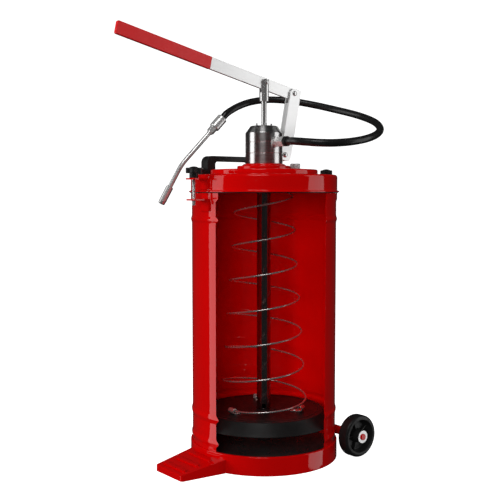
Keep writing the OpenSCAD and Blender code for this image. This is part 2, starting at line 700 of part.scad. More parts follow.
module link_channel() color([0.88, 0.88, 0.88]) on_link() difference() {
    union() {
        for (side = [-1, 1]) translate([0, side * (plate_in + plate_out) / 2, 0])
            side_plate(link_outline, plate_out - plate_in);
        translate([link_left, -plate_in - 0.01, 18])
            cube([2.5, 2 * plate_in + 0.02, web_top - 18]);
    }
    cross_rod(pin_r + run_gap, 20);
    translate([0, 0, link_len]) cross_rod(pin_r + 0.02, 20);
}

module link_top_pin() color([0.6, 0.6, 0.62]) on_link()
    translate([0, 0, link_len]) headed_pin(plate_out + 0.02, 4.5, 2.2);

// ---- clamp knobs ----

module knob(turn) color([0.05, 0.05, 0.05]) translate([clamp_x, 0, 0]) difference() {
    union() {
        translate([0, 0, upper_leg_z + leg_t + 0.05]) cylinder(r = 7.25, h = 9);
        translate([0, 0, knob_z]) cylinder(r = 9, h = knob_arm_h);
        for (i = [0:3]) rotate(turn + 90 * i) {
            translate([knob_r - 4, 0, knob_z]) cylinder(r = 4, h = knob_arm_h);
            translate([0, -4, knob_z]) cube([knob_r - 4, 8, knob_arm_h]);
        }
        translate([0, 0, knob_z + knob_arm_h - 0.1]) rotate_extrude()
            polygon([[0, 0], [7.5, 0], [6.2, 0.8], [4, 1.6], [0, 2.1]]);
    }
    translate([0, 0, 480]) cylinder(r = stud_r + 0.01, h = 15);
}
module knob_front() mirror([1, 0, 0]) knob(knob_front_turn);
module knob_rear() knob(knob_rear_turn);

module stud() color([0.7, 0.72, 0.75]) translate([clamp_x, 0, 439.5]) cylinder(r = stud_r, h = 55);
module stud_front() mirror([1, 0, 0]) stud();
module stud_rear() stud();

drum_shell();
base_pan();
drum_floor();
foot_pedal();
pedal_treads();
bracket_lower_front();
bracket_lower_rear();
axle_stubs();
axle_washers();
wheel_left();
wheel_right();
wheel_bush_left();
wheel_bush_right();
lid_cover();
lid_gasket();
pump_flange();
bracket_upper_front();
bracket_upper_rear();
carry_handle();
handle_screws();
filler_cap();
pump_head();
head_locknut();
head_gland();
gland_screws();
rod_packing();
throat_bush();
suction_tube();
foot_plug();
spring_seat();
spring();
link_lug();
link_foot_pin();
outlet_fitting();
hose_sleeve();
hose();
nozzle_ferrule();
nozzle_nut();
nozzle_tube();
nozzle_coupler();
coupler_jaws();
follower_plate();
follower_disc();
follower_wiper();
spring_clips();
clip_rivets();
pump_rod();
clevis();
lever_pin();
piston();
piston_seal();
check_ball();
lever_bar();
lever_grip();
link_channel();
link_top_pin();
knob_front();
knob_rear();
stud_front();
stud_rear();
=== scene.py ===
"""Looks of the hand-lever lubricant pump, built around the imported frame.

The row frame is in metres, with Z up. Outlines and places written in millimetres are scaled by MM.
"""

import json
import math

import bmesh
import bpy
from mathutils import Matrix, Vector


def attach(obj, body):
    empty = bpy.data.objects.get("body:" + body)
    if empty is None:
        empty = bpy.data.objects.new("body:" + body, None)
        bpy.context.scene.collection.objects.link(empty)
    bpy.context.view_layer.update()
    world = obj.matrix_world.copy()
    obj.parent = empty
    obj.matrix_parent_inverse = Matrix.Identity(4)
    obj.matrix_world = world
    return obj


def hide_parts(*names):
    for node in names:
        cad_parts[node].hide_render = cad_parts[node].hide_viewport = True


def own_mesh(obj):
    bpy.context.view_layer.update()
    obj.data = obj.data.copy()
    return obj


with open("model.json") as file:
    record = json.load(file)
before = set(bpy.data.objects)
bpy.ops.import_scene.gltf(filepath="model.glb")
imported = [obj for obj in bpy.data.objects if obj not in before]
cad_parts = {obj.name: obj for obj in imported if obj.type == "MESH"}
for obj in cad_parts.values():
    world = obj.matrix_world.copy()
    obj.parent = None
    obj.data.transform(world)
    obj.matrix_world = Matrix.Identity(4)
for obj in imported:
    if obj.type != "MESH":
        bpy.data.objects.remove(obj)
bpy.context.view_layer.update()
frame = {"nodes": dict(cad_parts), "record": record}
nodes = frame["nodes"]
MM = 0.001

# ---------------------------------------------------------------- camera

VIEW_TURN = math.radians(38.5)
VIEW_DIP = math.radians(3.737)
scene = bpy.context.scene
camera = bpy.data.objects.new("camera", bpy.data.cameras.new("camera"))
camera.data.lens = 63.18
camera.data.sensor_width = 36
camera.data.shift_y = -0.0011
camera.location = (-0.9689, -1.1791, 0.4613)
camera.rotation_euler = (math.pi / 2 - VIEW_DIP, 0, -VIEW_TURN)
scene.collection.objects.link(camera)
scene.camera = camera

# ---------------------------------------------------------------- mesh tools


def new_object(name, verts, faces, smooth=True):
    """A mesh object in the row frame, from points and faces, with its normals facing out."""
    mesh = bpy.data.meshes.new(name)
    mesh.from_pydata([tuple(v) for v in verts], [], faces)
    bm = bmesh.new()
    bm.from_mesh(mesh)
    bmesh.ops.remove_doubles(bm, verts=bm.verts, dist=1e-7)
    bmesh.ops.recalc_face_normals(bm, faces=bm.faces)
    bm.to_mesh(mesh)
    bm.free()
    for face in mesh.polygons:
        face.use_smooth = smooth
    obj = bpy.data.objects.new(name, mesh)
    scene.collection.objects.link(obj)
    return obj


def soften(obj, width=0.0, segments=3, angle=35):
    """Bevels the sharp edges and keeps the flats looking flat."""
    if width:
        bevel = obj.modifiers.new("bevel", "BEVEL")
        bevel.width = width
        bevel.segments = segments
        bevel.limit_method = "ANGLE"
        bevel.angle_limit = math.radians(angle)
        bevel.harden_normals = False
    normals = obj.modifiers.new("normals", "WEIGHTED_NORMAL")
    normals.keep_sharp = True
    return obj


def place(point=(0, 0, 0), towards=(0, 0, 1)):
    """A matrix that stands +Z at point along towards."""
    turn = Vector((0, 0, 1)).rotation_difference(Vector(towards)).to_matrix().to_4x4()
    return Matrix.Translation(point) @ turn


def round_corners(profile, radius, steps=3):
    """Rounds the corners of an open profile of (r, z) points."""
    out = [Vector(profile[0])]
    for before, corner, after in zip(profile, profile[1:], profile[2:]):
        before, corner, after = Vector(before), Vector(corner), Vector(after)
        a, b = before - corner, after - corner
        if a.length < 1e-9 or b.length < 1e-9 or a.angle(b) > math.radians(170):
            out.append(corner)
            continue
        reach = min(radius, a.length * 0.45, b.length * 0.45)
        start, stop = corner + a.normalized() * reach, corner + b.normalized() * reach
        for i in range(steps + 1):
            t = i / steps
            out.append((1 - t) ** 2 * start + 2 * t * (1 - t) * corner + t * t * stop)
    out.append(Vector(profile[-1]))
    return [tuple(p) for p in out]


def lathe(name, profile, at=None, sides=96, radius=0.0005, closed=False):
    """A turned piece from an (r, z) profile. A closed profile makes a ring."""
    ring = list(profile)
    if closed:
        # start the loop in the middle of a side, so that every corner is rounded
        first, last = Vector(ring[0]), Vector(ring[-1])
        middle = tuple((first + last) / 2)
        ring = [middle] + ring + [middle]
    points = round_corners(ring, radius) if radius else ring
    if closed:
        points = points[:-1]
    at = at or Matrix.Identity(4)
    verts, faces, count = [], [], len(points)
    for k in range(sides):
        a = 2 * math.pi * k / sides
        verts += [at @ Vector((r * math.cos(a), r * math.sin(a), z)) for r, z in points]
    for k in range(sides):
        n = (k + 1) % sides
        for i in range(count if closed else count - 1):
            j = (i + 1) % count
            quad = [k * count + i, n * count + i, n * count + j, k * count + j]
            if points[i][0] < 1e-9:
                quad = [quad[0], quad[2], quad[3]]
            elif points[j][0] < 1e-9:
                quad = [quad[0], quad[1], quad[2]]
            faces.append(quad)
    return soften(new_object(name, verts, faces))


def prism(name, outline, thick, at=None, bevel=0.0006, segments=3):
    """A flat piece: an outline in its own XY, with thickness along its Z about 0."""
    at = at or Matrix.Identity(4)
    count = len(outline)
    verts = [at @ Vector((x, y, z)) for z in (-thick / 2, thick / 2) for x, y in outline]
    faces = [list(range(count))[::-1], list(range(count, 2 * count))]
    faces += [[i, (i + 1) % count, count + (i + 1) % count, count + i] for i in range(count)]
    return soften(new_object(name, verts, faces), bevel, segments)


def arc(cx, cy, r, a0, a1, steps=10):
    """Points on an arc, angles in degrees."""
    angles = [math.radians(a0 + (a1 - a0) * i / steps) for i in range(steps + 1)]
    return [(cx + r * math.cos(a), cy + r * math.sin(a)) for a in angles]


def tube(name, path, r, sides=24, radii=None):
    """A round tube along a path, closed at both ends, with a frame that doesn't twist."""
    path = [Vector(p) for p in path]
    last = len(path) - 1
    verts, side = [], None
    for i, p in enumerate(path):
        t = (path[min(i + 1, last)] - path[max(i - 1, 0)]).normalized()
        side = t.orthogonal() if side is None else side - t * side.dot(t)
        side.normalize()
        up = t.cross(side)
        here = radii[i] if radii else r
        for k in range(sides):
            a = 2 * math.pi * k / sides
            verts.append(p + here * (math.cos(a) * side + math.sin(a) * up))
    faces = []
    for i in range(last):
        for k in range(sides):
            n = (k + 1) % sides
            faces.append([i * sides + k, i * sides + n, (i + 1) * sides + n, (i + 1) * sides + k])
    faces.append(list(range(sides))[::-1])
    faces.append([last * sides + k for k in range(sides)])
    return soften(new_object(name, verts, faces))


def join(name, parts):
    """Joins pieces into one object after applying their modifiers."""
    graph = bpy.context.evaluated_depsgraph_get()
    bm = bmesh.new()
    for part in parts:
        mesh = part.evaluated_get(graph).to_mesh()
        bm.from_mesh(mesh)
        part.evaluated_get(graph).to_mesh_clear()
    mesh = bpy.data.meshes.new(name)
    bm.to_mesh(mesh)
    bm.free()
    for part in parts:
        bpy.data.objects.remove(part)
    for face in mesh.polygons:
        face.use_smooth = True
    obj = bpy.data.objects.new(name, mesh)
    scene.collection.objects.link(obj)
    return soften(obj)


def smooth_route(points, steps):
    """A smooth line through route points, with steps stretches between each two."""
    p = [Vector(q) for q in points]
    out = []
    for i in range(len(p) - 1):
        a, b, c, d = p[max(i - 1, 0)], p[i], p[i + 1], p[min(i + 2, len(p) - 1)]
        for k in range(steps):
            t = k / steps
            out.append(0.5 * (2 * b + (c - a) * t + (2 * a - 5 * b + 4 * c - d) * t * t
                              + (3 * b - a - 3 * c + d) * t ** 3))
    return out + [p[-1]]


# ---------------------------------------------------------------- materials


class Paint:
    """Builds one procedural material."""

    def __init__(self, name, base, rough, metal=0.0, coat=0.0, coat_rough=0.05, specular=0.5):
        self.material = bpy.data.materials.new(name)
        self.material.use_nodes = True
        self.tree = self.material.node_tree
        self.shader = self.tree.nodes["Principled BSDF"]
        self.base = base
        self.rough = rough
        self.bumps = None
        self.shader.inputs["Base Color"].default_value = (*base, 1)
        self.shader.inputs["Roughness"].default_value = rough
        self.shader.inputs["Metallic"].default_value = metal
        self.shader.inputs["Coat Weight"].default_value = coat
        self.shader.inputs["Coat Roughness"].default_value = coat_rough
        self.shader.inputs["Specular IOR Level"].default_value = specular
        self.where = self.tree.nodes.new("ShaderNodeTexCoord").outputs["Object"]

    def link(self, a, b):
        self.tree.links.new(a, b)

    def noise(self, scale, detail=3, stretch=(1, 1, 1), turn=(0, 0, 0)):
        """A noise value, its scale in features to the metre."""
        mapping = self.tree.nodes.new("ShaderNodeMapping")
        mapping.inputs["Scale"].default_value = stretch
        mapping.inputs["Rotation"].default_value = turn
        texture = self.tree.nodes.new("ShaderNodeTexNoise")
        texture.inputs["Scale"].default_value = scale
        texture.inputs["Detail"].default_value = detail
        self.link(self.where, mapping.inputs["Vector"])
        self.link(mapping.outputs[0], texture.inputs["Vector"])
        return texture.outputs["Fac"]

    def ranged(self, value, low, high, source=(0.3, 0.7)):
        node = self.tree.nodes.new("ShaderNodeMapRange")
        node.inputs["From Min"].default_value = source[0]
        node.inputs["From Max"].default_value = source[1]
        node.inputs["To Min"].default_value = low
        node.inputs["To Max"].default_value = high
        self.link(value, node.inputs["Value"])
        return node.outputs["Result"]

    def vary_colour(self, value, other, amount=1.0):
        """Mixes the base colour towards another where value is high."""
        mix = self.tree.nodes.new("ShaderNodeMix")
        mix.data_type = "RGBA"
        mix.inputs["A"].default_value = (*self.base, 1)
        mix.inputs["B"].default_value = (*other, 1)
        self.link(self.ranged(value, 0, amount), mix.inputs["Factor"])
        self.link(mix.outputs["Result"], self.shader.inputs["Base Color"])
        return self

    def vary_rough(self, value, spread):
        rough = self.ranged(value, max(self.rough - spread, 0.02), self.rough + spread)
        self.link(rough, self.shader.inputs["Roughness"])
        return self

    def bump(self, value, depth):
        node = self.tree.nodes.new("ShaderNodeBump")
        node.inputs["Distance"].default_value = depth
        node.inputs["Strength"].default_value = 1.0
        self.link(value, node.inputs["Height"])
        if self.bumps:
            self.link(self.bumps, node.inputs["Normal"])
        self.bumps = node.outputs["Normal"]
        self.link(self.bumps, self.shader.inputs["Normal"])
        return self


def red_paint(name="red_paint", base=(0.56, 0.0006, 0.0006), worn=(0.52, 0.0004, 0.0004)):
    """Gloss enamel over pressed steel: faint orange peel and a slightly uneven film."""
    m = Paint(name, base, 0.5, coat=1.0, coat_rough=0.035, specular=0.0)
    m.vary_colour(m.noise(9, 4), worn)
    m.vary_rough(m.noise(60, 4), 0.05)
    m.bump(m.noise(420, 2), 0.000012).bump(m.noise(14, 2), 0.00008)
    return m.material


def turned_steel():
    """Lathe-turned steel: fine rings round the axis, which is the drum's."""
    m = Paint("turned_steel", (0.82, 0.815, 0.81), 0.3, metal=1)
    rings = m.noise(60, 4, stretch=(0.3, 0.3, 60))
    m.vary_rough(rings, 0.05).vary_colour(m.noise(40, 3), (0.77, 0.765, 0.76))
    m.bump(rings, 0.000004)
    round_axis = m.tree.nodes.new("ShaderNodeTangent")
    round_axis.direction_type = "RADIAL"
    round_axis.axis = "Z"
    m.link(round_axis.outputs["Tangent"], m.shader.inputs["Tangent"])
    m.shader.inputs["Anisotropic"].default_value = 0.85
    m.shader.inputs["Anisotropic Rotation"].default_value = 0.25
    return m.material


def fitting_steel():
    """Machined fittings: fine grain without a direction."""
    m = Paint("fitting_steel", (0.80, 0.80, 0.79), 0.26, metal=0.72)
    m.vary_rough(m.noise(300, 3), 0.03).vary_colour(m.noise(90, 3), (0.76, 0.755, 0.75))
    m.bump(m.noise(1500, 2), 0.000001)
    return m.material


def bright_steel():
    """Ground and polished rods and pins."""
    m = Paint("bright_steel", (0.80, 0.795, 0.79), 0.18, metal=0.85)
    m.vary_rough(m.noise(90, 3, stretch=(1, 1, 8)), 0.03)
    m.vary_colour(m.noise(60, 3), (0.76, 0.755, 0.75))
    m.bump(m.noise(900, 2, stretch=(1, 1, 0.1)), 0.0000008)
    return m.material


def plated_lever():
    """Zinc-plated flat bar with a brushed grain along it."""
    m = Paint("plated_lever", (0.90, 0.90, 0.895), 0.32, metal=0.85)
    grain = m.noise(500, 3, stretch=(0.05, 1, 1), turn=(0, math.radians(12), 0))
    m.vary_rough(grain, 0.015).vary_colour(m.noise(30, 3), (0.885, 0.885, 0.885))
    m.bump(grain, 0.0000004)
    return m.material


def dark_chrome():
    """Dark, streaky suction tube, seen wet with lubricant."""
    m = Paint("dark_chrome", (0.50, 0.47, 0.47), 0.2, metal=1)
    streaks = m.noise(90, 5, stretch=(2, 2, 0.25))
    m.vary_colour(streaks, (0.34, 0.31, 0.31)).vary_rough(m.noise(200, 4), 0.06)
    m.bump(streaks, 0.00006)
    return m.material


def spring_steel():
    """Drawn spring wire and the clips bent from it."""
    m = Paint("spring_steel", (0.86, 0.81, 0.79), 0.26, metal=0.9)
    m.vary_colour(m.noise(60, 3), (0.80, 0.74, 0.72)).vary_rough(m.noise(120, 3), 0.03)
    m.bump(m.noise(900, 2), 0.0000008)
    return m.material


def zinc():
    """Zinc-plated screws, studs and washers."""
    m = Paint("zinc", (0.84, 0.84, 0.83), 0.3, metal=0.9)
    m.vary_colour(m.noise(220, 3), (0.74, 0.74, 0.75)).vary_rough(m.noise(400, 3), 0.08)
    m.bump(m.noise(1500, 2), 0.00001)
    return m.material


def bronze():
    """Machined bronze bushes."""
    m = Paint("bronze", (0.55, 0.40, 0.16), 0.28, metal=1)
    m.vary_colour(m.noise(200, 3), (0.42, 0.30, 0.12)).vary_rough(m.noise(300, 3), 0.06)
    m.bump(m.noise(1200, 2), 0.000005)
    return m.material


def nylon():
    """Off-white moulded nylon."""
    m = Paint("nylon", (0.78, 0.77, 0.72), 0.45)
    m.vary_colour(m.noise(90, 3), (0.70, 0.69, 0.64)).bump(m.noise(900, 2), 0.00002)
    return m.material


def black_moulding():
    """Moulded black plastic: fine spark-eroded grain with a satin sheen."""
    m = Paint("black_moulding", (0.008, 0.008, 0.008), 0.38, specular=0.35)
    m.vary_colour(m.noise(50, 4), (0.012, 0.012, 0.012)).vary_rough(m.noise(90, 4), 0.07)
    m.bump(m.noise(1800, 2), 0.00003)
    return m.material


def black_rubber():
    """Follower and seals: smooth rubber with a faint bloom."""
    m = Paint("black_rubber", (0.007, 0.0065, 0.0065), 0.4, specular=0.2)
    m.vary_colour(m.noise(35, 5), (0.010, 0.009, 0.009)).vary_rough(m.noise(140, 5), 0.07)
    m.bump(m.noise(700, 4), 0.00004)
    return m.material


def hose_rubber():
    """Smooth-covered high-pressure hose with a glossy skin."""
    m = Paint("hose_rubber", (0.006, 0.006, 0.006), 0.3, coat=0.2, coat_rough=0.12, specular=0.35)
    m.vary_rough(m.noise(220, 4), 0.07).vary_colour(m.noise(60, 3), (0.013, 0.013, 0.013))
    m.bump(m.noise(1300, 2), 0.00003)
    return m.material


def black_enamel():
    """Dark enamel on the drum's floor: painted shade that stands in for the shadow under the
    follower.
    """
    m = Paint("black_enamel", (0.05, 0.045, 0.045), 0.35)
    m.vary_colour(m.noise(30, 5), (0.06, 0.055, 0.055)).vary_rough(m.noise(80, 5), 0.1)
    m.bump(m.noise(300, 3), 0.00005)
    return m.material


def grip_plastic():
    """Dip-moulded red vinyl over the bar."""
    m = Paint("grip_plastic", (0.66, 0.010, 0.012), 0.36, specular=0.5)
    m.vary_colour(m.noise(30, 4), (0.60, 0.009, 0.011)).vary_rough(m.noise(120, 4), 0.07)
    m.bump(m.noise(1100, 3), 0.00004).bump(m.noise(60, 2), 0.0001)
    return m.material


FINISHES = {
    "red_paint": red_paint(),
    # painted light: a brighter copy of the red paint that stands in for the light inside the drum
    "painted_light_red": red_paint("painted_light_red", (0.90, 0.001, 0.001), (0.86, 0.0008, 0.0008)),
    "turned_steel": turned_steel(),
    "fitting_steel": fitting_steel(),
    "bright_steel": bright_steel(),
    "white_steel": plated_lever(),
    "dark_chrome": dark_chrome(),
    "spring_steel": spring_steel(),
    "zinc": zinc(),
    "bronze": bronze(),
    "nylon": nylon(),
    "black_moulding": black_moulding(),
    "black_rubber": black_rubber(),
    "hose_rubber": hose_rubber(),
    # the drum floor's dark paint is painted shade for the shadow under the follower
    "black_enamel": black_enamel(),
    "grip_plastic": grip_plastic(),
}
FINISH_OF = {node: "fitting_steel" for node in (
    "outlet_fitting", "nozzle_ferrule", "nozzle_nut", "nozzle_coupler", "nozzle_tube", "filler_cap")}
SLOT_OF = {s["node"]: s["material_slot"] for s in frame["record"]["subparts"]}
BODY_OF = {node: body for body, inside in frame["record"]["behaviour"]["bodies"].items()
           for node in inside}

# the drum's inner faces, which take the painted light, lie inside this radius and face the axis at
# least this much
LIT_INSIDE_LIMIT = 0.1285
LIT_INSIDE_FACING = -0.3


def paint_light_inside_drum():
    """The drum's inner faces take a brighter copy of the red paint, on a second material slot:
    painted light that stands in for the light inside the drum.
    """
    drum = nodes["drum_shell"].data
    drum.materials.append(FINISHES["painted_light_red"])
    for face in drum.polygons:
        x, y = face.center.xy
        radius = math.hypot(x, y)
        outward = x * face.normal.x + y * face.normal.y
        if outward < LIT_INSIDE_FACING * radius and radius < LIT_INSIDE_LIMIT:
            face.material_index = 1


def finish_nodes():
    """Every CAD node gets its procedural finish, and the drum's inner faces their brighter red, which
    is painted light.
    """
    for name, obj in nodes.items():
        obj.data.materials.clear()
        obj.data.materials.append(FINISHES[FINISH_OF.get(name, SLOT_OF[name])])
    paint_light_inside_drum()


def stand_for(obj, node):
    """The piece rides with a CAD node's body, stands for the node and takes its finish."""
    obj.data.materials.clear()
    obj.data.materials.append(FINISHES[FINISH_OF.get(node, SLOT_OF[node])])
    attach(obj, BODY_OF[node])
    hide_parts(node)
    return obj


def dress(name, width):
    """A CAD node that stays: its sharp edges are eased and its shading evened."""
    obj = nodes[name]
    for face in obj.data.polygons:
        face.use_smooth = True
    weld = obj.modifiers.new("weld", "WELD")
    weld.merge_threshold = 0.000005
    soften(obj, width * MM, 2)
    obj.modifiers["bevel"].angle_limit = math.radians(40)


# ---------------------------------------------------------------- hose and nozzle

# the route in millimetres, with the points of the part's source and a start just inside the sleeve
HOSE_ROUTE = [
    (0, -62.6, 546.5), (0, -66, 546.5), (0, -69, 546.5), (1.2, -75, 546.2),
    (4, -86, 545.2), (11, -101, 543.7),
    (22, -116, 542.3), (43, -131, 542.2), (73, -140, 545), (110, -140, 551.5),
    (148, -127, 561.5), (181, -102, 574), (202, -67, 588.5), (207, -22, 603),
    (198, 28, 616.5), (178, 70, 628), (151, 104, 636), (119, 130, 638.5),
    (87, 144, 633.5), (61, 148.5, 624.5), (42, 149.5, 615), (32.5, 150.9, 608.7),
    (28.93, 151.93, 604.9), (25.07, 152.98, 600.57),
]


HOSE_R = 6.5 * MM


def hose(tool):
    """The hose: a round tube along its smoothed route, standing for the hose node."""
    path = smooth_route([Vector(p) * MM for p in HOSE_ROUTE], 8)
    obj = tube("high_pressure_hose", path, HOSE_R, 32)
    stand_for(obj, "hose")


# ---------------------------------------------------------------- container


WHEEL_MIDDLE = (118, 112.7, 37)


def axle_frame(side):
    """The wheel's axis, its open face outwards."""
    x, y, z = WHEEL_MIDDLE
    return place((x * MM, side * y * MM, z * MM), (0, side, 0))


def wheel(side, node):
    """Moulded wheel: rounded shoulders, a recessed face and a raised hub."""
    half = 11
    outline = [(7.6, -half + 1), (12, -half + 1), (13, -half + 3), (24, -half + 4), (28.5, -half + 1)]
    outline += arc(31.5, -half + 5, 5, 270, 360, 8)
    outline += arc(31.5, half - 5, 5, 0, 90, 8)
    outline += arc(29.5, half - 1.5, 1.5, 90, 180, 4)
    outline += [(26.4, 3.2), (25, -1.2), (24, -2), (13, -2), (11.9, -1.2), (10.9, 12), (10.2, 13.2),
                (7.6, 13.2)]
    points = [(r * MM, z * MM) for r, z in outline]
    parts = [lathe("tyre", points, axle_frame(side), 96, 0.0006, closed=True)]
    for i in range(5):
        a = math.radians(72 * i + 36)
        spoke = prism("rib", [(10.5, -1.1), (25.5, -0.9), (25.5, 0.9), (10.5, 1.1)], 5, bevel=0.5)
        spoke.data.transform(axle_frame(side) @ Matrix.Rotation(a, 4, "Z")
                             @ Matrix.Diagonal((MM, MM, MM, 1)))
        spoke.modifiers["bevel"].width = 0.0004
        parts.append(spoke)
    stand_for(join("moulded_" + node, parts), node)


CLAMP_X = 148


def threaded_stud(node, x):
    """Clamp stud with its rolled thread."""
    pitch, core, crest = 1.0, 2.72, 3.0
    low, high, steps = 439.5, 494.5, 20
    verts, faces = [], []
    turns = int((high - low) / pitch)
    count = turns * steps + 1
    rows = [(core, 0.0), (crest, 0.30), (crest, 0.45), (core, 0.75)]
    for i in range(count):
        a = 2 * math.pi * i / steps
        z = low + pitch * i / steps
        for r, rise in rows:
            height = min(z + rise * pitch, high)
            verts.append(Vector((x + r * math.cos(a), r * math.sin(a), height)) * MM)
    width = len(rows)
    for i in range(count - 1):
        for k in range(width - 1):
            a = i * width + k
            faces.append([a, a + width, a + width + 1, a + 1])
        if i + steps < count:
            a, b = i * width + width - 1, (i + steps) * width
            faces.append([a, a + width, b + width, b] if i + steps + 1 < count else [a, a + width, b])
    thread = new_object("thread", verts, faces)
    core_rod = lathe("core", [(0, low * MM), (core * MM, low * MM), (core * MM, high * MM),
                              (0, high * MM)], Matrix.Translation((x * MM, 0, 0)), 40, 0.0004)
    stand_for(join("threaded_" + node, [thread, core_rod]), node)


# ---------------------------------------------------------------- lid furniture


KNOB_MIDDLE = 496.6
KNOB_TIP_R = 9.2


def knob(node, side, turn):
    """Four-armed clamp knob with a collar and a domed top."""
    outline = []
    for i in range(4):
        a = turn + 90 * i
        tip = (KNOB_TIP_R * math.cos(math.radians(a)), KNOB_TIP_R * math.sin(math.radians(a)))
        outline += arc(tip[0], tip[1], 4.0, a - 80, a + 80, 12)
        valley = a + 45
        outline += arc(11.5 * math.cos(math.radians(valley)), 11.5 * math.sin(math.radians(valley)),
                       4.6, valley + 180 + 38, valley + 180 - 38, 8)
    at = Matrix.Translation((side * CLAMP_X * MM, 0, KNOB_MIDDLE * MM))
    arms = prism("arms", [(x * MM, y * MM) for x, y in outline], 0.0092, at, 0.0011, 4)
    collar = lathe("collar", [(p[0] * MM, p[1] * MM) for p in [
        (3.1, -12.3), (6.9, -12.3), (7.25, -11.9), (7.25, -4.2), (7.9, -3.4), (3.1, -3.4)]], at,
        64, 0.0003, closed=True)
    dome = lathe("dome", [(p[0] * MM, p[1] * MM) for p in [
        (7.5, 4.2), (7.4, 4.75), (6.3, 5.5), (4, 6.2), (1.6, 6.6), (0, 6.65)]], at, 64, 0.0004)
    stand_for(join("moulded_" + node, [arms, collar, dome]), node)


def carry_handle():
    """Bent strap handle with flanged feet, trimmed to the lid's rim."""
    bar = [(-42, 491), (-42, 510)] + arc(-36, 510, 6, 180, 90, 8) + arc(36, 510, 6, 90, 0, 8)
    bar += [(42, 491), (72, 491), (72, 502), (60, 502)] + arc(48, 513.5, 12, 0, 90, 12)
    bar += arc(-48, 513.5, 12, 90, 180, 12) + [(-60, 502), (-72, 502), (-72, 491)]
    obj = prism("strap_handle", [(x * MM, z * MM) for x, z in bar], 0.020,
                Matrix.Translation((0, 0.094, 0)) @ Matrix.Rotation(math.pi / 2, 4, "X"), 0.0014, 4)
    rim_limit = 0.1244
    for vertex in obj.data.vertices:
        reach = math.hypot(vertex.co.x, vertex.co.y)
        if reach > rim_limit:
            vertex.co.x *= rim_limit / reach
            vertex.co.y *= rim_limit / reach
    stand_for(obj, "carry_handle")


def fluted(name, profile, teeth, depth, at=None, per_tooth=6):
    """A turned piece whose flagged (r, z, 1) points carry straight flutes."""
    at = at or Matrix.Identity(4)
    sides, count = teeth * per_tooth, len(profile)
    verts, faces = [], []
    for k in range(sides):
        a = 2 * math.pi * k / sides
        wave = 0.5 - 0.5 * math.cos(2 * math.pi * k / per_tooth)
        for r, z, flute in profile:
            here = r - depth * wave * flute
            verts.append(at @ Vector((here * math.cos(a), here * math.sin(a), z)))
    for k in range(sides):
        n = (k + 1) % sides
        for i in range(count - 1):
            faces.append([k * count + i, n * count + i, n * count + i + 1, k * count + i + 1])
    return soften(new_object(name, verts, faces))


CAP_X = 72


def filler_cap():
    """Knurled filler screw with a chamfered head."""
    at = Matrix.Translation((CAP_X * MM, 0, 0))
    rows = [(0, 500.1, 0), (8.6, 500.1, 0), (9.0, 500.5, 0), (9.1, 501.0, 1), (9.1, 510.6, 1),
            (8.9, 511.0, 0), (8.1, 512.0, 0), (5.2, 512.0, 0), (4.9, 511.5, 0), (0, 511.5, 0)]
    head = fluted("cap_head", [(r * MM, z * MM, f) for r, z, f in rows], 40, 0.0005, at)
    stem = lathe("cap_stem", [(0, 0.491), (0.005, 0.491), (0.005, 0.5005), (0, 0.5005)], at, 40)
    stand_for(join("knurled_filler_cap", [head, stem]), "filler_cap")


# ---------------------------------------------------------------- pump


def pump_head():
    """Turned head: two scribed grooves, a coned shoulder and the relief under its base."""
    outline = [(0, 484), (15.9, 484), (15.9, 510), (31.7, 510), (32.2, 510.6)]
    for z in (528, 546.7):
        outline += [(32.2, z - 0.6), (31.5, z - 0.2), (31.5, z + 0.2), (32.2, z + 0.6)]
    outline += [(32.2, 562.4), (31.9, 563.2), (23.4, 574.6), (22.6, 575), (11.2, 575), (10.9, 574.4),
                (0, 574.4)]
    obj = lathe("turned_head", [(r * MM, z * MM) for r, z in outline], sides=160, radius=0.00025)
    stand_for(obj, "pump_head")


# pivots of the linkage as (x, z) in millimetres, and how far the lever dips at rest
LEVER_PIVOT = (0, 649.6)
LINK_TOP = (65, 634.9)
LINK_FOOT = (43, 526.6)
LEVER_DIP = math.radians(12.4)
LINK_LEAN = math.atan2(LINK_TOP[0] - LINK_FOOT[0], LINK_TOP[1] - LINK_FOOT[1])
LINK_LENGTH = math.dist(LINK_TOP, LINK_FOOT)


def pivot(point):
    """A pivot's place in the row frame, in metres."""
    return Vector((point[0], 0, point[1])) * MM


def lever():
    """Flat bar with eased edges and a rounded end, and its dipped grip."""
    turn = Matrix.Translation(pivot(LEVER_PIVOT)) @ Matrix.Rotation(LEVER_DIP, 4, "Y")
    flat = turn @ Matrix.Rotation(math.pi / 2, 4, "X")
    low, high = -12.7, 7.9
    bar = [(-120, high - 0.3), (-120, low + 0.3), (-113, low)] + arc(78.5, low + 3, 3, 270, 360, 6)
    bar += arc(78.5, high - 3, 3, 0, 90, 6) + [(-113, high)]
    obj = prism("plated_bar", [(x * MM, z * MM) for x, z in bar], 0.005, flat, 0.0007, 3)
    stand_for(obj, "lever_bar")
    grip = arc(-294.0, low + 2.4, 2.6, 180, 270, 8) + [(-117.4, low - 0.2), (-116.2, low + 0.4)]
    grip += [(-116.2, high - 0.4), (-117.4, high + 0.2)] + arc(-294.0, high - 2.4, 2.6, 90, 180, 8)
    obj = prism("dipped_grip", [(x * MM, z * MM) for x, z in grip], 0.0064, flat, 0.0011, 4)
    stand_for(obj, "lever_grip")


